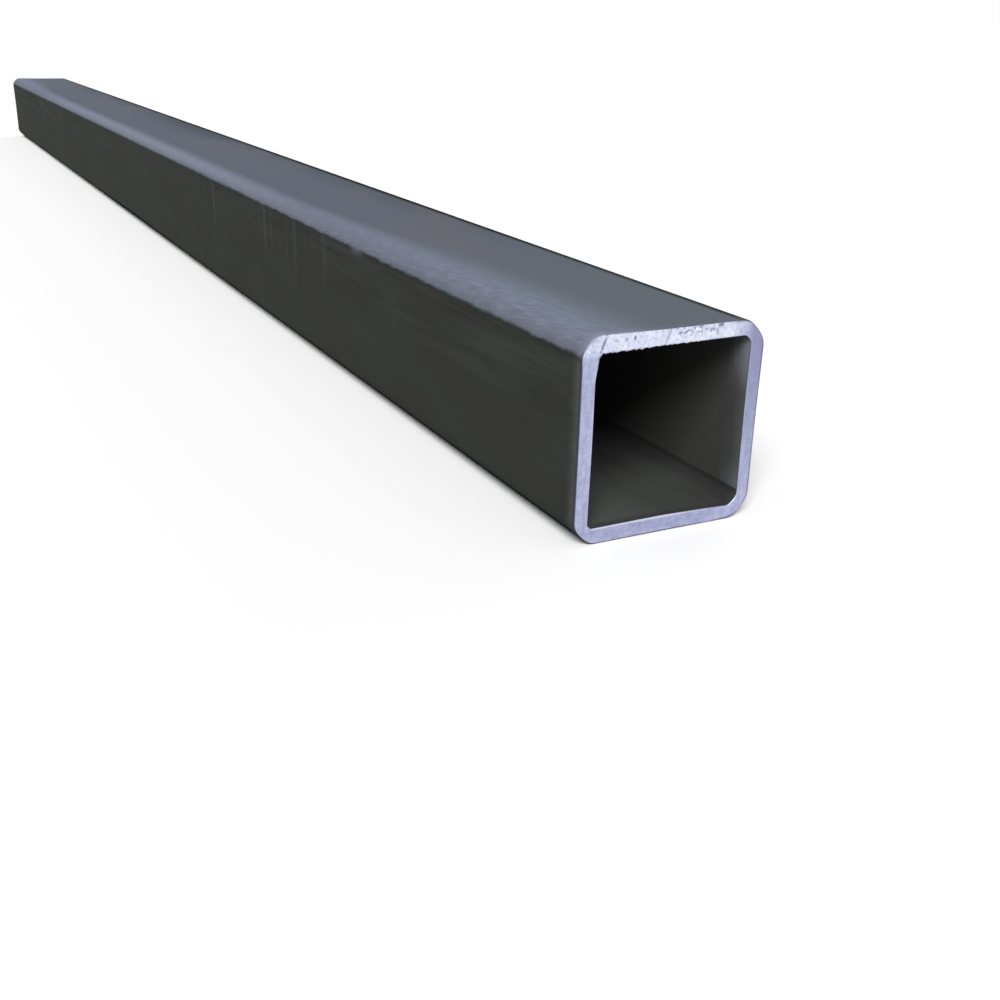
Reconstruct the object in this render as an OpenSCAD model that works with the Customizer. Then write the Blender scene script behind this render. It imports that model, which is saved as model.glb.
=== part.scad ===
// Square steel hollow section, one cut length of stock lying on its side.
// The tube runs along Y. Its bottom face lies on Z = 0, and X = 0, Y = 0 is the middle of that face.

/* [Section] */
// Outside width and height of the square section
section_w = 50; // [30:1:100]
// Wall thickness, the same on all four sides
wall_t = 4; // [2:0.5:6]
// Outside corner radius, as a multiple of the wall thickness
corner_factor = 1.75; // [1.6:0.05:2.4]

/* [Length] */
// Length that the stock is cut to
stock_length = 1000; // [200:10:3000]

/* [Sawn ends] */
// Width of the edge that deburring breaks, around both rims of each sawn end
edge_break = 0.3; // [0.1:0.1:0.6]

/* [Hidden] */

// Arcs of one corner share a centre, so the wall keeps its thickness round the bend.
outer_r = wall_t * corner_factor;
inner_r = outer_r - wall_t;
bore_w = section_w - 2 * wall_t;
mill_grey = [0.33, 0.35, 0.37];
// How far a cutting body runs past the face that it cuts
overrun = 1;
$fn = 96;

// Calls its child once at the centre of each corner arc of a square of the given width and radius.
module at_corner_centres(width, radius) {
    reach = width / 2 - radius;
    for (x = [-reach, reach], y = [-reach, reach])
        translate([x, y, 0])
            children();
}

// Outline of a square with rounded corners, centred on the origin.
module rounded_square(width, radius) {
    square([width, width - 2 * radius], center = true);
    square([width - 2 * radius, width], center = true);
    at_corner_centres(width, radius)
        circle(r = radius);
}

// Side view of a bar that narrows by rise on both sides over the same height, standing on Y = 0.
module tapered_side(width, rise) {
    polygon([
        [-width / 2, 0],
        [width / 2, 0],
        [width / 2 - rise, rise],
        [-width / 2 + rise, rise]
    ]);
}

// Slab with the rounded outline at Z = 0 that tapers at 45 degrees to a smaller one at Z = rise.
// Two crossed bars carry the straight sides and a cone carries each corner.
module tapered_slab(width, radius, rise) {
    flat = width - 2 * radius;
    for (turn = [0, 90])
        rotate([0, 0, turn])
            rotate([90, 0, 0])
                linear_extrude(height = flat, center = true)
                    tapered_side(width, rise);
    at_corner_centres(width, radius)
        cylinder(h = rise, r1 = radius, r2 = radius - rise);
}

// Outside form of the bar stood on end, with the rim of each end broken by 45 degrees.
module outer_form() {
    straight = stock_length - 2 * edge_break;
    linear_extrude(height = straight, center = true)
        rounded_square(section_w, outer_r);
    for (end = [0, 1])
        mirror([0, 0, end])
            translate([0, 0, straight / 2])
                tapered_slab(section_w, outer_r, edge_break);
}

// Hollow that runs right through, opened out by 45 degrees at the rim of each end.
module bore_form() {
    mouth_w = bore_w + 2 * edge_break;
    linear_extrude(height = stock_length + 2 * overrun, center = true)
        rounded_square(bore_w, inner_r);
    for (end = [0, 1])
        mirror([0, 0, end])
            translate([0, 0, stock_length / 2])
                mirror([0, 0, 1])
                    tapered_slab(mouth_w, inner_r + edge_break, edge_break);
}

// The whole length of stock, one piece of steel.
module square_tube() {
    color(mill_grey)
        translate([0, 0, section_w / 2])
            rotate([90, 0, 0])
                difference() {
                    outer_form();
                    bore_form();
                }
}

square_tube();
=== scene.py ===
"""One cut length of square steel hollow section, lying on a pale floor.

The tube is swept by Geometry Nodes: a rounded square section, carried round the wall from the outside,
over the far sawn end, back through the bore and over the near sawn end, so that the skin is closed.
Sizes are in metres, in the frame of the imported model: the tube runs along Y and lies on Z = 0.
"""

import math

import bpy
from mathutils import Matrix, Vector

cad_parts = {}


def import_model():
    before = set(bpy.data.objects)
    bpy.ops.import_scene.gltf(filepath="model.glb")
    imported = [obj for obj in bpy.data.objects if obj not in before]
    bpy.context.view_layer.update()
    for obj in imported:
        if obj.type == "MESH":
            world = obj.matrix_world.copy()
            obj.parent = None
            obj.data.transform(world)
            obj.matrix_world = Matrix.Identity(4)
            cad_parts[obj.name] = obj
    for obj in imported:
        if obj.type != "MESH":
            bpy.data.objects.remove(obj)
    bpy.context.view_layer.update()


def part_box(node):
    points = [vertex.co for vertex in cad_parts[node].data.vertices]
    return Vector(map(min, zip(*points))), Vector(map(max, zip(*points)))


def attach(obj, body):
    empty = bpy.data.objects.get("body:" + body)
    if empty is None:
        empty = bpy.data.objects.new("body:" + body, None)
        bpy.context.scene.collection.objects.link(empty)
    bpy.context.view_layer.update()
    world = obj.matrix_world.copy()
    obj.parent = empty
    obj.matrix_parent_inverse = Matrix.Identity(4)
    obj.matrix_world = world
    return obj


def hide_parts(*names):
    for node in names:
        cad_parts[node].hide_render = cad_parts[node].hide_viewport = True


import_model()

NODE = "square_tube"
MM = 0.001

# Section and length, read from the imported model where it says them
low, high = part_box(NODE)
SECTION_W = high.x - low.x
STOCK_LENGTH = high.y - low.y
WALL = 4 * MM
CORNER_R = 7 * MM
EDGE_BREAK = 0.3 * MM
HALF_W = SECTION_W / 2
HALF_L = STOCK_LENGTH / 2

# Outer and inner radius of each bend of this length of tube, clockwise from the top face. Real bends stray
# a little from the nominal 7 mm and 3 mm, and the upper left one of this tube is the tightest outside.
BENDS = {
    "Top Right": (7.0 * MM, 2.1 * MM),
    "Bottom Right": (6.2 * MM, 3.0 * MM),
    "Bottom Left": (6.4 * MM, 1.3 * MM),
    "Top Left": (5.4 * MM, 1.4 * MM),
}
# No bend gets tighter than this at any depth, under the burr either
TIGHTEST = 0.3 * MM

# Camera, solved from the rims of the sawn end and the long edges
CAMERA_PLACE = (-0.15668, -0.7141, 0.11332)
CAMERA_YAW = -27.763
CAMERA_PITCH = -22.066
CAMERA_ROLL = 1.534
CAMERA_LENS = 43.024
SENSOR_W = 36

# Mesh density: steps along one flat and one bend of the section, and along each stretch of the walk
# round the wall
FLAT_STEPS = 112
BEND_STEPS = 18
CUT_STEPS = 18
BREAK_STEPS = 2
WALL_WALK = {
    "outside": 70,
    "far_break": BREAK_STEPS,
    "far_cut": CUT_STEPS,
    "far_mouth": BREAK_STEPS,
    "bore": 30,
    "near_mouth": BREAK_STEPS,
    "near_cut": CUT_STEPS,
    "near_break": BREAK_STEPS,
}
WALL_STEPS = sum(WALL_WALK.values())
STRIP = "strip"
# Points of the mesh that lie closer than this become one
WELD_GAP = 0.004 * MM

# Light levels: diffuse light from all of them together comes to about 1 on an upward face
AMBIENT = 0.3
FLOOR_BOUNCE = 0.45

# How far the saw's lines lean to the right for each step up a sawn end
SAW_SLANT = 0.39

# How much of the dark rolled skin shines as metal does, where no painted shade covers it
METAL_SHARE = 0.45

# Places along the left face: a lone rub, and the smudge under the rubbed bend
LONE_RUB = -192.5 * MM
SMUDGE = -364 * MM
# Soft start and soft end of a cluster of rubs, in millimetres
RUBS_START = (-345, -325)
RUBS_END = (-262, -245)

# Scratches on the top wall of the near end: where the foot is across it, and strength
SCRATCHES = (
    (-20.1 * MM, 0.85),
    (-3.3 * MM, 0.5),
)
# Height at which a scratch has its foot
SCRATCH_FOOT = 46 * MM
# Dents in the same wall: place across and up, half width, half height, and strength
DENTS = (
    (-16.5 * MM, 48.3 * MM, 0.6 * MM, 0.4 * MM, 0.3),
    (-13.6 * MM, 48.1 * MM, 0.34 * MM, 0.6 * MM, 0.6),
    (-11.4 * MM, 48.4 * MM, 0.34 * MM, 0.6 * MM, 0.9),
    (11.0 * MM, 47.8 * MM, 0.4 * MM, 1 * MM, 0.5),
    (11.9 * MM, 49.3 * MM, 0.9 * MM, 0.5 * MM, 0.8),
)


# Node trees

class Wire:
    """A socket in a node tree. Arithmetic on a value adds its Math nodes."""

    def __init__(self, bench, socket):
        self.bench = bench
        self.socket = socket

    def sibling(self, name):
        """Another output of the same node."""
        return Wire(self.bench, self.socket.node.outputs[name])

    def maths(self, operation, *others):
        """A Math node on this value, with the others after it."""
        return self.bench.maths(operation, self, *others)

    def __add__(self, other):
        return self.maths("ADD", other)

    def __radd__(self, other):
        return self.bench.maths("ADD", other, self)

    def __sub__(self, other):
        return self.maths("SUBTRACT", other)

    def __rsub__(self, other):
        return self.bench.maths("SUBTRACT", other, self)

    def __mul__(self, other):
        return self.maths("MULTIPLY", other)

    def __rmul__(self, other):
        return self.bench.maths("MULTIPLY", other, self)

    def __truediv__(self, other):
        return self.maths("DIVIDE", other)

    def __pow__(self, other):
        return self.maths("POWER", other)

    def __abs__(self):
        return self.maths("ABSOLUTE")


class Bench:
    """A node tree that is being built."""

    def __init__(self, tree):
        self.tree = tree

    def node(self, kind, settings=None, sockets=None, out=0):
        """Adds a node, its settings before the values or wires of its sockets.

        Gives the wire of one of its outputs, if it has any.
        """
        made = self.tree.nodes.new(kind)
        for name, value in (settings or {}).items():
            setattr(made, name, value)
        for key, value in (sockets or {}).items():
            if isinstance(value, Wire):
                self.tree.links.new(value.socket, made.inputs[key])
            else:
                made.inputs[key].default_value = value
        return Wire(self, made.outputs[out]) if made.outputs else None

    def maths(self, operation, *values):
        """A Math node on wires and plain numbers."""
        return self.node("ShaderNodeMath", {"operation": operation}, dict(enumerate(values)))

    def split(self, vector):
        """The X, Y and Z of a vector."""
        parts = self.node("ShaderNodeSeparateXYZ", sockets={0: vector})
        return [parts.sibling(axis) for axis in "XYZ"]

    def join(self, x, y, z):
        """The vector with the given X, Y and Z."""
        return self.node("ShaderNodeCombineXYZ", sockets={0: x, 1: y, 2: z})

    def noise(self, vector, scale, detail, roughness=0.5):
        """Noise from 0 to 1, about 0.5 on the whole."""
        sockets = {"Vector": vector, "Scale": scale, "Detail": detail, "Roughness": roughness}
        return self.node("ShaderNodeTexNoise", sockets=sockets)

    def mix(self, factor, first, second):
        """A colour that goes from the first to the second as the factor goes from 0 to 1."""
        # Inputs 6 and 7 of a Mix node are its two colours, and output 2 is the mixed one
        sockets = {0: factor, 6: first, 7: second}
        return self.node("ShaderNodeMix", {"data_type": "RGBA"}, sockets, out=2)


def rise(value, start, end, shape="SMOOTHSTEP"):
    """0 before start, 1 after end, and a smooth or straight rise between them."""
    sockets = {"Value": value, "From Min": start, "From Max": end}
    return value.bench.node("ShaderNodeMapRange", {"interpolation_type": shape}, sockets)


def fall(value, start, end, shape="SMOOTHSTEP"):
    """1 before start, 0 after end."""
    return 1 - rise(value, start, end, shape)


def past(value, start, end):
    """Soft edge of a place: 0 before start, 1 after end, both in millimetres."""
    return rise(value, start * MM, end * MM)


def before(value, start, end):
    """Soft edge of a place: 1 before start, 0 after end, both in millimetres."""
    return fall(value, start * MM, end * MM)


def greatest(first, *others):
    """The greatest of some values, of which the first is a wire."""
    for other in others:
        first = first.maths("MAXIMUM", other)
    return first


def at_most(value, limit):
    """The value where it is below the limit, and the limit elsewhere."""
    return value.maths("MINIMUM", limit)


# Camera

def place_camera():
    """Camera at the photograph's viewing angle, by yaw, pitch and roll."""
    lens = bpy.data.cameras.new("camera")
    lens.sensor_width = SENSOR_W
    lens.lens = CAMERA_LENS
    lens.clip_start = 0.01
    lens.clip_end = 100
    camera = bpy.data.objects.new("camera", lens)
    turn = Matrix.Rotation(math.radians(CAMERA_YAW), 4, "Z")
    tip = Matrix.Rotation(math.radians(90 + CAMERA_PITCH), 4, "X")
    roll = Matrix.Rotation(math.radians(CAMERA_ROLL), 4, "Z")
    camera.matrix_world = Matrix.Translation(CAMERA_PLACE) @ turn @ tip @ roll
    bpy.context.scene.collection.objects.link(camera)
    bpy.context.scene.camera = camera


# Shape of the tube

TUBE_SIZES = {
    "Section Width": SECTION_W,
    "Wall": WALL,
    "Length": STOCK_LENGTH,
    "Edge Break": EDGE_BREAK,
    "Face Dish": 0.12 * MM,
    "Bend Flatness": 0.08,
    "Thin Corner": 0.6 * MM,
    "Saw Relief": 0.06 * MM,
    "Pit Depth": 0.22 * MM,
    "Burr Reach": 0.5 * MM,
    "Burr Tooth": 0.42 * MM,
    "Burr Teeth per Metre": 520.0,
    "Seed": 7.0,
}
for bend_name, (outer, inner) in BENDS.items():
    TUBE_SIZES[bend_name + " Outer Radius"] = outer
    TUBE_SIZES[bend_name + " Inner Radius"] = inner


def named_inputs(bench, sizes):
    """Gives the tree one float input for each named size, and returns their wires and identifiers."""
    ids = {}
    for name in sizes:
        socket = bench.tree.interface.new_socket(name, in_out="INPUT", socket_type="NodeSocketFloat")
        ids[name] = socket.identifier
    group = bench.node("NodeGroupInput")
    wires = {name: group.sibling(name) for name in sizes}
    return wires, ids


def stretch_span(name):
    """The steps of the walk round the wall at which one of its stretches starts and ends."""
    names = list(WALL_WALK)
    start = sum(WALL_WALK[earlier] for earlier in names[:names.index(name)])
    return start, start + WALL_WALK[name]


def wall_walk(ring):
    """How far the walk round the wall has got through each of its eight stretches, 0 to 1 each."""
    return {name: rise(ring, *stretch_span(name), "LINEAR") for name in WALL_WALK}


def on_stretch(strip, name):
    """1 on the faces of one stretch of the walk, 0 elsewhere."""
    start, end = stretch_span(name)
    return strip.maths("GREATER_THAN", start) * strip.maths("LESS_THAN", end)


def crowd_ends(share):
    """Moves evenly spaced steps towards both ends of a long stretch."""
    crowding = 0.9
    wave = (share * math.tau).maths("SINE")
    return share - wave * (crowding / math.tau)


def wall_place(walk, size):
    """How deep the walk lies below the outside of the wall, and where it is along the tube."""
    edge = size["Edge Break"]
    breaks = walk["far_break"] + walk["far_mouth"] - walk["near_mouth"] - walk["near_break"]
    cuts = walk["far_cut"] - walk["near_cut"]
    depth = breaks * edge + cuts * (size["Wall"] - 2 * edge)
    run_length = size["Length"] - 2 * edge
    runs = crowd_ends(walk["outside"]) - crowd_ends(walk["bore"])
    steps_out = walk["far_break"] - walk["far_mouth"] - walk["near_mouth"] + walk["near_break"]
    along = (runs - 0.5) * run_length + steps_out * edge
    return depth, along


def bend_radius(size, name, depth):
    """Radius of one bend at a depth below the outside of the wall."""
    outer = size[name + " Outer Radius"]
    inner = size[name + " Inner Radius"]
    return greatest(outer + (inner - outer) * depth / size["Wall"], TIGHTEST)


def pick(quarter, choices):
    """The choice whose place in the list is the number of the quarter."""
    chosen = (quarter.maths("COMPARE", place, 0.5) * choice for place, choice in enumerate(choices))
    return sum(chosen)


def quarter_point(quarter, within, size, depth):
    """Point of one quarter of the section, turned to lie on top: a dished flat, then a flattened bend."""
    flat_share = FLAT_STEPS / (FLAT_STEPS + BEND_STEPS)
    run = rise(within, 0, flat_share, "LINEAR")
    bend = rise(within, flat_share, 1, "LINEAR") * (math.pi / 2)
    radii = [bend_radius(size, name, depth) for name in BENDS]
    bend_before = pick(quarter, radii[-1:] + radii[:-1])
    bend_after = pick(quarter, radii)
    half = size["Section Width"] / 2 - depth
    dish = (1 - (run * 2 - 1) ** 2) ** 2 * size["Face Dish"]
    flattening = (bend * 2).maths("SINE") ** 2 * size["Bend Flatness"]
    reach = bend_after * (1 - flattening)
    flat_x = (bend_before - half) * (1 - run) + (half - bend_after) * run
    across = flat_x + reach * bend.maths("SINE")
    up = half - bend_after - dish + reach * bend.maths("COSINE")
    return across, up


def section_point(around, size, depth):
    """Point of the rounded square at a depth below its outside.

    The bore strays towards the lower right corner, where the wall is thinnest.
    """
    turns = around * 4
    whole = turns.maths("FLOOR")
    quarter = whole.maths("MODULO", 4)
    across, up = quarter_point(quarter, turns - whole, size, depth)
    turn = quarter * (math.pi / 2)
    sine = turn.maths("SINE")
    cosine = turn.maths("COSINE")
    x = across * cosine + up * sine
    z = up * cosine - across * sine + size["Section Width"] / 2
    stray = rise(x, 0, HALF_W, "LINEAR") * fall(z, 0, SECTION_W, "LINEAR") * size["Thin Corner"]
    thinned = stray * depth / size["Wall"]
    return x + thinned, z - thinned


def burr_lip(bench, walk, size, x, z):
    """How far the saw's burr pushes the near end's inner rim into the bore.

    It is heavy at the upper left corner, where the left wall's rim is also rolled in, toothed along the
    left and middle of the upper rim, and light elsewhere.
    """
    root = 0.2
    lip = walk["near_mouth"] * fall(walk["near_cut"], 0, root, "LINEAR")
    line = bench.join(x, z, size["Seed"])
    drift = bench.noise(line, scale=220, detail=1)
    stray = bench.noise(line, scale=650, detail=1)
    light = bench.noise(line, scale=500, detail=2) * 0.3
    teeth = x * size["Burr Teeth per Metre"] + drift * 2.5 + stray * 1.5
    tooth = 1 - teeth.maths("FRACT")
    heavy = before(x, -20, 3) * past(z, 38, 45)
    toothed = before(x, 2, 14) * past(z, 44.5, 45.5)
    rolled_in = before(x, -20.6, -19.6) * 0.7
    reach = heavy * (1 + rolled_in) * size["Burr Reach"]
    reach = reach + toothed * tooth * rise(stray, 0.25, 0.65) * size["Burr Tooth"]
    return lip * (reach + light * size["Edge Break"])


def pit_field(bench, x, z, end):
    """Pits of a sawn end, 0 to 1, crowded on the right half of the top wall and into its outer rim.

    The shape and the finish of the sawn ends both use it, so that they agree.
    """
    crowd = past(x, -3, 1) * before(x, 11.5, 13.5) * past(z, 46.4, 48.4)
    grain = bench.noise(bench.join(x, end, z * 0.8), scale=1150, detail=3)
    return rise(grain - fall(crowd, 0, 1) * 0.25, 0.49, 0.61)


def cut_relief(bench, size, x, z, end):
    """How far the saw has left the sawn face below its highest points."""
    waves = bench.noise(bench.join(x - z * SAW_SLANT, end, z * 0.12), scale=700, detail=3)
    return waves * size["Saw Relief"] + pit_field(bench, x, z, end) * size["Pit Depth"]


def skin_point(bench, around, walk, size):
    """Point of the tube's skin, with the burr and the marks of the saw."""
    depth, along = wall_place(walk, size)
    x, z = section_point(around, size, depth)
    lip = burr_lip(bench, walk, size, x, z)
    x, z = section_point(around, size, depth + lip)
    relief = cut_relief(bench, size, x, z, along.maths("SIGN"))
    near = walk["near_mouth"] - walk["near_break"]
    far = walk["far_break"] - walk["far_mouth"]
    return bench.join(x, along + (near - far) * relief, z)


def give_finishes(bench, solid, steel, scale, bore_scale):
    """Bare steel all over, then the rolled skin outside and the dull skin in the bore."""
    strip = bench.node("GeometryNodeInputNamedAttribute", {"data_type": "FLOAT"}, {"Name": STRIP})
    breaks = on_stretch(strip, "far_break") + on_stretch(strip, "near_break")
    outside = on_stretch(strip, "outside") + breaks
    inside = on_stretch(strip, "bore")
    for finish, where in ((steel, True), (scale, outside), (bore_scale, inside)):
        sockets = {"Geometry": solid, "Selection": where, "Material": finish}
        solid = bench.node("GeometryNodeSetMaterial", sockets=sockets)
    return solid


def tube_tree(steel, scale, bore_scale):
    """Geometry Nodes tree of the tube, and the identifiers of its named inputs."""
    bench = Bench(bpy.data.node_groups.new("square hollow section", "GeometryNodeTree"))
    size, ids = named_inputs(bench, TUBE_SIZES)
    bench.tree.interface.new_socket("Geometry", in_out="OUTPUT", socket_type="NodeSocketGeometry")
    around_steps = 4 * (FLAT_STEPS + BEND_STEPS)
    grid_sizes = {"Vertices X": around_steps + 1, "Vertices Y": WALL_STEPS + 1}
    grid = bench.node("GeometryNodeMeshGrid", sockets=grid_sizes)
    around, share, _ = bench.split(grid.sibling("UV Map"))
    ring = share * WALL_STEPS

    point = skin_point(bench, around, wall_walk(ring), size)
    shaped = bench.node("GeometryNodeSetPosition", sockets={"Geometry": grid, "Position": point})
    stored = bench.node(
        "GeometryNodeStoreNamedAttribute",
        {"data_type": "FLOAT", "domain": "FACE"},
        {"Geometry": shaped, "Name": STRIP, "Value": ring},
    )
    closed = bench.node("GeometryNodeMergeByDistance", sockets={"Geometry": stored, "Distance": WELD_GAP})
    smooth = bench.node("GeometryNodeSetShadeSmooth", sockets={"Geometry": closed})
    solid = bench.node("GeometryNodeRealizeInstances", sockets={"Geometry": smooth})
    solid = give_finishes(bench, solid, steel, scale, bore_scale)
    bench.node("NodeGroupOutput", sockets={"Geometry": solid})
    return bench.tree, ids


def make_tube(steel, scale, bore_scale):
    """The tube as a plain mesh object, with the materials of its sawn ends, outside and bore."""
    tree, ids = tube_tree(steel, scale, bore_scale)
    tube = bpy.data.objects.new("steel_tube", bpy.data.meshes.new("steel_tube"))
    bpy.context.scene.collection.objects.link(tube)
    maker = tube.modifiers.new("square hollow section", "NODES")
    maker.node_group = tree
    for name, value in TUBE_SIZES.items():
        maker[ids[name]] = value
    evaluated = tube.evaluated_get(bpy.context.evaluated_depsgraph_get())
    plain = bpy.data.meshes.new_from_object(evaluated)
    tube.modifiers.remove(maker)
    tube.data = plain
    plain.attributes.remove(plain.attributes[STRIP])
    return tube


# Finishes

def srgb(red, green, blue):
    """Colour as it shows on screen, 0 to 255, given as the shader's linear numbers."""
    def linear(value):
        part = value / 255
        return part / 12.92 if part <= 0.04045 else ((part + 0.055) / 1.055) ** 2.4
    return (linear(red), linear(green), linear(blue), 1)


class Finish(Bench):
    """A material that is being built, with the place on the object to hand."""

    def __init__(self, name, metallic, specular, edge_tint=1.0):
        material = bpy.data.materials.new(name)
        material.use_nodes = True
        super().__init__(material.node_tree)
        self.material = material
        self.shader = next(n for n in self.tree.nodes if n.type == "BSDF_PRINCIPLED")
        self.shader.inputs["Metallic"].default_value = metallic
        self.shader.inputs["Specular IOR Level"].default_value = specular
        self.shader.inputs["Specular Tint"].default_value = (edge_tint, edge_tint, edge_tint, 1)
        self.place = self.node("ShaderNodeTexCoord", out="Object")
        self.x, self.y, self.z = self.split(self.place)
        self.to_end = HALF_L - abs(self.y)

    def drawn_noise(self, pace, scale, detail):
        """Noise that is drawn out along the tube, the more the lower its pace."""
        sockets = {0: self.place, 1: (1, pace, 1)}
        drawn = self.node("ShaderNodeVectorMath", {"operation": "MULTIPLY"}, sockets)
        return self.noise(drawn, scale, detail)

    def apply(self, colour, roughness, height, bump_depth, metallic=None):
        """Links the colour, the roughness, a bump from the height and, if it varies, the metallic share."""
        sockets = {"Strength": 1, "Distance": bump_depth, "Height": height}
        bump = self.node("ShaderNodeBump", sockets=sockets)
        wires = {"Base Color": colour, "Roughness": roughness, "Normal": bump}
        if metallic is not None:
            wires["Metallic"] = metallic
        for name, wire in wires.items():
            self.tree.links.new(wire.socket, self.shader.inputs[name])
        return self.material


class MillScale(Finish):
    """Dark rolled skin outside, with a slate bloom and painted sheen on top, and a rubbed upper left bend,
    paler partly by a painted highlight.
    """

    side = srgb(60, 63, 60)
    side_warm = srgb(59, 59, 56)
    side_pale = srgb(74, 75, 73)
    side_dull = srgb(47, 47, 45)
    scuffed = srgb(104, 108, 108)
    slate = srgb(94, 101, 112)
    slate_dull = srgb(81, 86, 95)
    slate_warm = srgb(103, 102, 109)
    slate_near_sheen = srgb(97, 104, 112)
    # Pale band of the upper left bend: partly real rubbing, partly painted highlight
    rubbed_lit_foot = srgb(115, 120, 136)
    rubbed_lit_head = srgb(121, 128, 146)
    glint = srgb(160, 165, 182)
    # Painted shade along the foot and down from the upper right bend
    shade_dark = srgb(34, 36, 42)
    # Painted shade for the line along the cut rim of the left face and bend
    rim = srgb(58, 62, 76)
    shade = srgb(40, 41, 47)

    def __init__(self):
        super().__init__("mill_scale", metallic=METAL_SHARE, specular=0.0, edge_tint=0.45)
        self.mottle = self.drawn_noise(pace=0.3, scale=75, detail=4)
        self.ragged = self.drawn_noise(pace=0.5, scale=420, detail=4)
        self.cloud = self.drawn_noise(pace=0.4, scale=260, detail=3)
        slanted = self.join(self.x + self.z + self.y * 0.25, self.y * 0.18, 0)
        self.stroke = self.noise(slanted, scale=900, detail=3)
        self.near = before(self.to_end, 10, 220)
        self.midway = past(self.to_end, 360, 500)
        self.left = before(self.x, -24, -20)
        self.bloom_edge = 16.6 * MM + self.near * (0.8 * MM)
        self.climb = self.climb_from_foot()
        # The slate bloom on top is partly a real bloom and partly a painted sheen.
        self.bloom_and_sheen = past(self.climb, 1.9, 3.3) * before(self.x - self.bloom_edge, -1.4, 0.8)
        self.rubbed_and_lit = self.rubbed_and_lit_share()

    def climb_from_foot(self):
        """Grows from the frayed foot of the upper left bend, over the bend, and on across the top face."""
        fuzz = 0.8 * MM + before(self.to_end, 5, 45) * (0.7 * MM)
        frayed = (self.ragged - 0.5) * fuzz + (self.stroke - 0.5) * (1.2 * MM)
        return (self.x + HALF_W) + (self.z - (SECTION_W - CORNER_R)) + frayed

    def rubbed_and_lit_share(self):
        """How much the skin is rubbed and lit by a painted highlight: most on the bend, and on across the
        top face near the sawn ends, where the painted reflection reaches farther.
        """
        swell = rise(self.climb / (8 * MM + self.near * (3 * MM)), 0.1, 0.8)
        beyond_bend = self.climb - 8 * MM - self.near * (2 * MM)
        fade = fall(beyond_bend / (7 * MM + self.near * (13 * MM)), 0, 1)
        return self.bloom_and_sheen * fade * at_most(swell + 0.3, 1)

    def sides(self):
        """Mottled sides, smeared along their upper half, with the rubs on the left face."""
        wisp = self.drawn_noise(pace=0.05, scale=420, detail=4)
        smeared = past(self.z, 20, 36) * (0.35 + 0.65 * before(self.to_end, 80, 420))
        colour = self.mix(rise(self.mottle, 0.35, 0.65), self.side_warm, self.side)
        colour = self.mix(rise(wisp, 0.5, 0.66) * smeared * 0.34, colour, self.side_pale)
        colour = self.mix(fall(wisp, 0.34, 0.48) * smeared * 0.36, colour, self.side_dull)
        colour = self.mix(rise(self.stroke, 0.5, 0.7) * smeared * 0.12, colour, self.side_pale)
        return self.mix(self.rubs(), colour, self.scuffed)

    def rubs(self):
        """Faint upright rubs on the left face: a cluster of them, and a plainer lone one farther off."""
        lone = before(abs(self.y - LONE_RUB), 0.5, 1.6)
        cluster = past(self.y, *RUBS_START) * before(self.y, *RUBS_END)
        rub = self.noise(self.join(0, self.y, self.z * 0.02), scale=130, detail=2)
        strength = lone * 0.24 + rise(rub, 0.48, 0.7) * cluster * 0.16
        return strength * past(self.z, 20, 36) * before(self.x, -24, -22)

    def edge_shade(self):
        """Where shade is painted on the skin: along the foot of the tube, and down from the upper right
        bend.
        """
        foot = before(self.z - self.midway * (1.2 * MM), 3.1, 4.6) * 0.9
        head = past(self.x - self.bloom_edge, -0.6, 1.2) * past(self.z, 40, 46)
        return greatest(foot, head)

    def edge_marks(self, colour):
        """Adds the paler strip beside each cut, and the dark line and the smudge under the rubbed bend."""
        cut_strip = before(self.to_end + (self.ragged - 0.5) * (3 * MM), 0.4, 4.5)
        colour = self.mix(cut_strip * 0.35, colour, self.scuffed)
        line = before(abs(self.climb - 1.6 * MM), 0.1, 0.8) * self.left
        colour = self.mix(line * (0.2 + 0.18 * self.near), colour, self.shade)
        smudge = before(abs(self.y - SMUDGE), 0.5, 8) * past(self.z, 42.8, 45.2) * self.left
        return self.mix(smudge * 0.5, colour, self.rubbed_lit_foot)

    def top(self):
        """Slate bloom and painted sheen of the top face: duller to the right, warmer in places, painted
        lighter near the sawn ends, and painted shade midway along.
        """
        hue = self.drawn_noise(pace=0.5, scale=34, detail=2)
        colour = self.mix(rise(self.x, 0, HALF_W), self.slate, self.slate_dull)
        # Painted sheen: lighter near the sawn ends.
        colour = self.mix(self.near, colour, self.slate_near_sheen)
        colour = self.mix(rise(hue, 0.5, 0.68) * 0.6, colour, self.slate_warm)
        # Painted shade: darker midway along the tube, towards the right.
        return self.mix(self.midway * past(self.x, -8, 18) * 0.28, colour, self.shade)

    def rubbed_and_lit_bend(self, colour):
        """Adds the rubbed bend with its painted highlight, brush strokes, glints and a pale crest of
        painted highlight, and the painted shade line of its cut rim.
        """
        pale = self.mix(past(self.climb, 5, 12), self.rubbed_lit_foot, self.rubbed_lit_head)
        # The pale band is partly real rubbing and partly a painted highlight.
        colour = self.mix(at_most(self.rubbed_and_lit * (0.75 + 0.5 * self.cloud), 1), colour, pale)
        brushed = 0.25 * self.bloom_and_sheen * before(self.x, -14, 4) + 0.75 * self.rubbed_and_lit
        strokes = brushed * (0.45 + 0.55 * self.near)
        colour = self.mix(fall(self.stroke, 0.32, 0.5) * strokes * 0.25, colour, self.slate_dull)
        # Glints: polish flecks and painted highlight on the brushed strokes.
        polish_and_highlight = greatest(rise(self.stroke, 0.5, 0.7) * 0.18, before(self.to_end, 0.5, 5) * 0.12)
        colour = self.mix(polish_and_highlight * strokes, colour, self.glint)
        # Painted highlight: a pale crest along the middle of the bend, away from the ends.
        crest_highlight = before(abs(self.climb - 7 * MM), 0.5, 4.5) * past(self.to_end, 160, 320)
        colour = self.mix(crest_highlight * self.bloom_and_sheen * 0.25, colour, self.glint)
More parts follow.
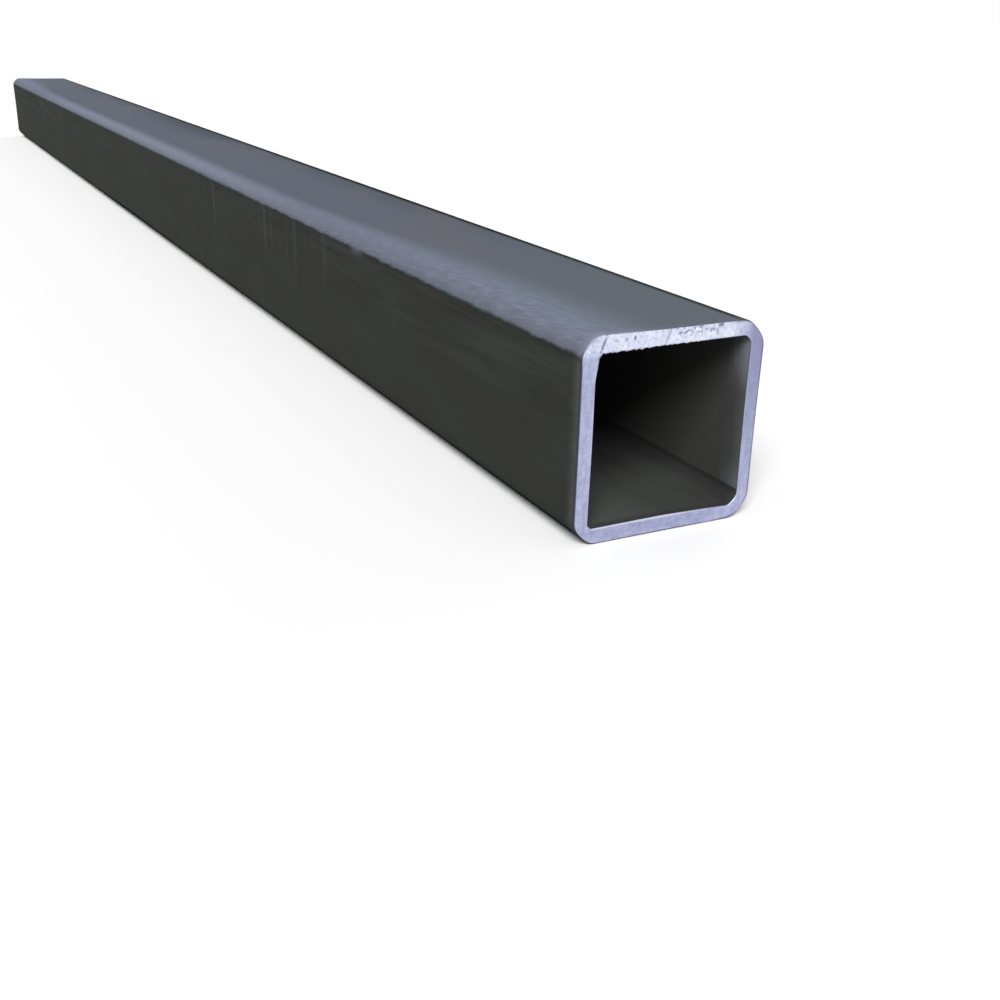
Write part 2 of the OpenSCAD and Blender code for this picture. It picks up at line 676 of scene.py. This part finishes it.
        # Painted shade: a dark line along the cut rim of the left face and the upper left bend.
        over_bend = before(self.x, -23.6, -21.4) * before(self.z, 43, 49.6)
        return self.mix(before(self.to_end, 0.3, 0.8) * over_bend * 0.8, colour, self.rim)

    def finished(self):
        """The material: the sides with their painted shade and marks, the bloom with its painted sheen over
        them, and the rubbed bend with its painted highlight.
        """
        edge_shade = self.edge_shade()
        colour = self.mix(edge_shade, self.sides(), self.shade_dark)
        colour = self.mix(self.bloom_and_sheen, self.edge_marks(colour), self.top())
        colour = self.rubbed_and_lit_bend(colour)
        grain = self.noise(self.place, scale=1500, detail=3)
        rolled = self.drawn_noise(pace=0.02, scale=900, detail=3)
        roughness = 0.62 - self.rubbed_and_lit * 0.12 + (self.mottle - 0.5) * 0.1 + (rolled - 0.5) * 0.08
        height = grain * 0.3 + rolled * 0.35 + self.cloud * 0.3
        shine = (1 - edge_shade) * METAL_SHARE
        return self.apply(colour, roughness, height, bump_depth=0.04 * MM, metallic=shine)


class SawnSteel(Finish):
    """Bright bare metal of the sawn ends, with saw lines, pits, scratches and dents."""

    bare = srgb(182, 188, 213)
    cool = srgb(158, 163, 197)
    # Painted sheen of the top wall
    bright = srgb(217, 222, 244)
    white = srgb(240, 242, 250)
    # Painted shade of the right and bottom walls, also used for saw lines and specks
    shaded = srgb(140, 143, 176)
    pitted = srgb(112, 114, 138)
    lavender = srgb(188, 183, 228)
    # Painted highlight and painted shade of the rims
    rim_bright = srgb(214, 217, 236)
    rim_shaded = srgb(70, 72, 88)

    def __init__(self):
        super().__init__("sawn_steel", metallic=0.75, specular=0.5)
        self.end = self.y.maths("SIGN")
        slanted = self.join(self.x - self.z * SAW_SLANT, self.end, self.z * 0.1)
        self.lines = self.noise(slanted, scale=1600, detail=3)
        self.cloud = self.face_noise(across=1, up=1, layer=1, scale=420, roughness=0.65)
        # Where light is painted on the sawn ends: sheen on the top wall, shade on the right wall and on the
        # right-hand broken rims.
        self.on_top = past(self.z, 44.4, 46) * before(self.x, 13, 22)
        self.on_right = past(self.x, 19, 22) * past(self.z, -2, 46)
        self.broken = past(self.to_end, 0.12, 0.24) * past(self.x, 12, 19.4)

    def face_noise(self, across, up, layer, scale, detail=4, roughness=0.6):
        """Noise on a sawn face, with a pace across it and one up it. Each layer has its own pattern."""
        place = self.join(self.x * across, self.end * layer, self.z * up)
        return self.noise(place, scale, detail, roughness)

    def beyond(self, half, radius):
        """How far a point in a sawn face lies outside a rounded square. It is below 0 inside the bends."""
        over_x = abs(self.x) - (half - radius)
        over_z = abs(self.z - HALF_W) - (half - radius)
        past_x = greatest(over_x, 0)
        past_z = greatest(over_z, 0)
        spread = past_x * past_x + past_z * past_z
        return spread.maths("SQRT") - radius

    def metal(self):
        """Clean metal: streaked upright on the side walls and level on the others, brightest on top by
        painted sheen, and darker on the right wall and at the foot by painted shade.
        """
        upright = self.face_noise(across=1.4, up=0.25, layer=5, scale=600)
        level = self.face_noise(across=0.3, up=1.4, layer=5, scale=600)
        beside = past(abs(self.x) - abs(self.z - HALF_W), -2, 2)
        streaks = level + (upright - level) * beside
        on_foot = before(self.z, 3, 5) * greatest(before(self.x, 10, 20), past(self.x, 18, 22))
        colour = self.mix(rise((self.cloud + streaks) * 0.5, 0.38, 0.62), self.cool, self.bare)
        colour = self.mix(rise(streaks, 0.5, 0.64) * 0.4, colour, self.lavender)
        colour = self.mix(greatest(self.on_right * 0.95, on_foot * 0.3), colour, self.shaded)
        return self.mix(self.on_top * 0.85, colour, self.bright)

    def flecked(self, colour):
        """Adds white flakes to the painted sheen of the top wall, cool clouds there, and saw lines and
        specks everywhere.
        """
        flake = self.face_noise(across=0.7, up=0.8, layer=3, scale=520)
        speck = self.face_noise(across=1, up=1, layer=7, scale=1100, detail=3)
        flakes = self.on_top * past(self.x, -24, -18) * rise(flake, 0.42, 0.68)
        colour = self.mix(flakes * 0.7, colour, self.white)
        clouds = before(self.x, -22, -17) * self.on_top * rise(self.cloud, 0.45, 0.6)
        colour = self.mix(clouds * 0.5, colour, self.cool)
        colour = self.mix(rise(self.lines, 0.52, 0.72) * 0.2, colour, self.shaded)
        colour = self.mix(rise(speck, 0.5, 0.66) * 0.3, colour, self.shaded)
        return self.mix(fall(speck, 0.34, 0.5) * (0.06 + 0.24 * self.on_top), colour, self.white)

    def scratch(self, foot):
        """A soft scratch right across the top wall, at the saw's slant."""
        off = abs(self.x - foot - (self.z - SCRATCH_FOOT) * SAW_SLANT)
        return before(off, 0.1, 0.55) * past(self.z, 45.4, 46)

    def dent(self, x, z, half_wide, half_tall):
        """A small oval dent."""
        across = (self.x - x) / half_wide
        up = (self.z - z) / half_tall
        return fall(across * across + up * up, 0.3, 1.3)

    def marks(self):
        """Pits of both ends, and the scratches and dents of the near one, 0 to 1."""
        worn = rise(self.noise(self.join(self.x, 0, self.z), scale=1300, detail=2), 0.3, 0.55)
        knocks = [self.scratch(foot) * worn * strength for foot, strength in SCRATCHES]
        knocks += [self.dent(*shape) * strength for *shape, strength in DENTS]
        on_near_end = before(self.y, 0, 1)
        pits = pit_field(self, self.x, self.z, self.end)
        return greatest(pits * 0.7, greatest(*knocks) * on_near_end)

    def rims(self, colour):
        """Adds bright inner rims at the left and the foot, partly polish and partly painted highlight, and
        painted shade on the outer rims at the left and right and on the broken rims on the right.
        """
        inner_r = 1.75 * MM + past(self.x, -5, 5) * (1.25 * MM)
        clear = self.beyond(HALF_W - WALL, inner_r)
        # Painted highlight on the inner rims, on top of their polish.
        polish_and_highlight = before(clear, 0.1, 0.5) * before(self.z, 40, 46) * before(self.x, 12, 18)
        colour = self.mix(polish_and_highlight * (1 - self.on_right) * 0.7, colour, self.rim_bright)
        outer = self.beyond(HALF_W, radius=6.6 * MM)
        # Painted shade: dark lines along the outer rims on the left and right.
        on_left = before(self.x, -23, -20) * before(self.z, 42, 45) * past(outer, -0.6, -0.4) * 0.8
        shadowed = past(self.x, 12, 20) * past(outer, -0.8, -0.4) * 0.65
        colour = self.mix(greatest(on_left, shadowed), colour, self.rim_shaded)
        return self.mix(self.broken, colour, self.rim_shaded)

    def finished(self):
        """The material: clean metal, then its marks, then its rims."""
        marks = self.marks()
        colour = self.mix(marks, self.flecked(self.metal()), self.pitted)
        colour = self.rims(colour)
        grain = self.noise(self.place, scale=2400, detail=2)
        roughness = 0.42 + (self.cloud - 0.5) * 0.16 + marks * 0.2 + (self.lines - 0.5) * 0.1
        height = self.lines * 0.6 + grain * 0.25 + self.cloud * 0.4 - marks * 0.8
        return self.apply(colour, roughness + self.broken * 0.4, height, bump_depth=0.06 * MM)


class BoreScale(Finish):
    """Dull grey skin inside, paler on the floor, on the right-hand wall and at that wall's mouths."""

    dark = srgb(58, 59, 57)
    light = srgb(67, 69, 67)
    floor_pale = srgb(79, 81, 79)
    wall = srgb(70, 71, 69)
    # Darker grey: painted shade in the crease of the lower right bend, and the floor just inside each mouth
    bore_dark = srgb(44, 45, 44)
    scuffed = srgb(116, 120, 132)

    def __init__(self):
        super().__init__("bore_scale", metallic=0.0, specular=0.2)
        self.rolled = self.drawn_noise(pace=0.015, scale=500, detail=2)
        self.mottle = self.drawn_noise(pace=0.4, scale=90, detail=4)
        self.on_floor = before(self.z, 4.5, 5.5)
        self.on_wall = past(self.x, 20.2, 20.9) * past(self.z, 7.1, 7.7)

    def skin(self):
        """Mottled skin, with the paler floor and wall and a painted shade line along the bend between them.
        """
        colour = self.mix(rise(self.mottle * 0.7 + self.rolled * 0.3, 0.35, 0.65), self.dark, self.light)
        colour = self.mix(self.on_floor * before(self.x, -16, 10) * 0.8, colour, self.floor_pale)
        colour = self.mix(self.on_wall * 0.8, colour, self.wall)
        bend_line = past(self.x, 17.5, 20.2) * before(self.z, 7.1, 7.7)
        return self.mix(bend_line * 0.65, colour, self.bore_dark)

    def mouths(self, colour):
        """Darkens the floor just inside each mouth, and scuffs the wall there, most at its head."""
        colour = self.mix(self.on_floor * before(self.to_end, 1, 4) * 0.8, colour, self.bore_dark)
        streaks = self.noise(self.join(self.y * 1.5, 0, self.z * 0.4), scale=420, detail=3)
        uneven = self.to_end + (self.mottle - 0.5) * (4 * MM) + (streaks - 0.5) * (5 * MM)
        head_and_foot = past(self.z, 30, 40) + before(self.z, 8, 16) * 0.4
        scuffs = before(uneven, 1, 9) * self.on_wall * (0.1 + 0.9 * head_and_foot)
        return self.mix(scuffs * 0.8, colour, self.scuffed)

    def finished(self):
        """The material: the skin, then the mouths."""
        colour = self.mouths(self.skin())
        grain = self.noise(self.place, scale=1300, detail=2)
        roughness = 0.6 + (self.mottle - 0.5) * 0.15
        height = self.rolled * 0.3 + grain * 0.3 + self.mottle * 0.4
        return self.apply(colour, roughness, height, bump_depth=0.04 * MM)


# Floor, background and light

def seen_directly(bench):
    """1 for rays that show the background: the camera's, mirrored ones and ones through glass."""
    path = bench.node("ShaderNodeLightPath")
    rays = ("Is Camera Ray", "Is Glossy Ray", "Is Transmission Ray")
    return greatest(*(path.sibling(name) for name in rays))


def lay_floor():
    """Pale floor that shows white, keeps the shadow, and throws back about half of its light."""
    reach = 60
    bounce = (FLOOR_BOUNCE, FLOOR_BOUNCE, FLOOR_BOUNCE, 1)
    white = (1, 1, 1, 1)
    finish = Finish("pale_floor", metallic=0.0, specular=0.0)
    colour = finish.mix(seen_directly(finish), bounce, white)
    finish.tree.links.new(colour.socket, finish.shader.inputs["Base Color"])
    finish.shader.inputs["Roughness"].default_value = 1
    corners = [(-reach, -reach, 0), (reach, -reach, 0), (reach, reach, 0), (-reach, reach, 0)]
    mesh = bpy.data.meshes.new("floor")
    mesh.from_pydata(corners, [], [(0, 1, 2, 3)])
    mesh.materials.append(finish.material)
    floor = bpy.data.objects.new("floor", mesh)
    bpy.context.scene.collection.objects.link(floor)


def hang_sky():
    """Even ambient light, white where it is seen directly."""
    world = bpy.data.worlds.new("studio")
    world.use_nodes = True
    bench = Bench(world.node_tree)
    background = next(n for n in bench.tree.nodes if n.type == "BACKGROUND")
    strength = AMBIENT + seen_directly(bench) * (1 - AMBIENT)
    bench.tree.links.new(strength.socket, background.inputs["Strength"])
    background.inputs["Color"].default_value = (1, 1, 1, 1)
    bpy.context.scene.world = world


def hang_lamp(name, towards, level, spread):
    """Soft lamp at a direction, whose light on a face turned to it has the given level."""
    lamp = bpy.data.lights.new(name, "SUN")
    lamp.energy = level * math.pi
    lamp.angle = math.radians(spread)
    holder = bpy.data.objects.new(name, lamp)
    holder.rotation_mode = "QUATERNION"
    holder.rotation_quaternion = Vector(towards).to_track_quat("Z", "Y")
    bpy.context.scene.collection.objects.link(holder)


bpy.context.scene.view_settings.view_transform = "Standard"
place_camera()
lay_floor()
hang_sky()
hang_lamp("key", towards=(-0.42, -0.62, 0.66), level=1.06, spread=30)
hang_lamp("fill", towards=(0.9, 0.4, 0.12), level=0.3, spread=50)

tube = make_tube(SawnSteel().finished(), MillScale().finished(), BoreScale().finished())
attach(tube, "root")
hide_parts(NODE)
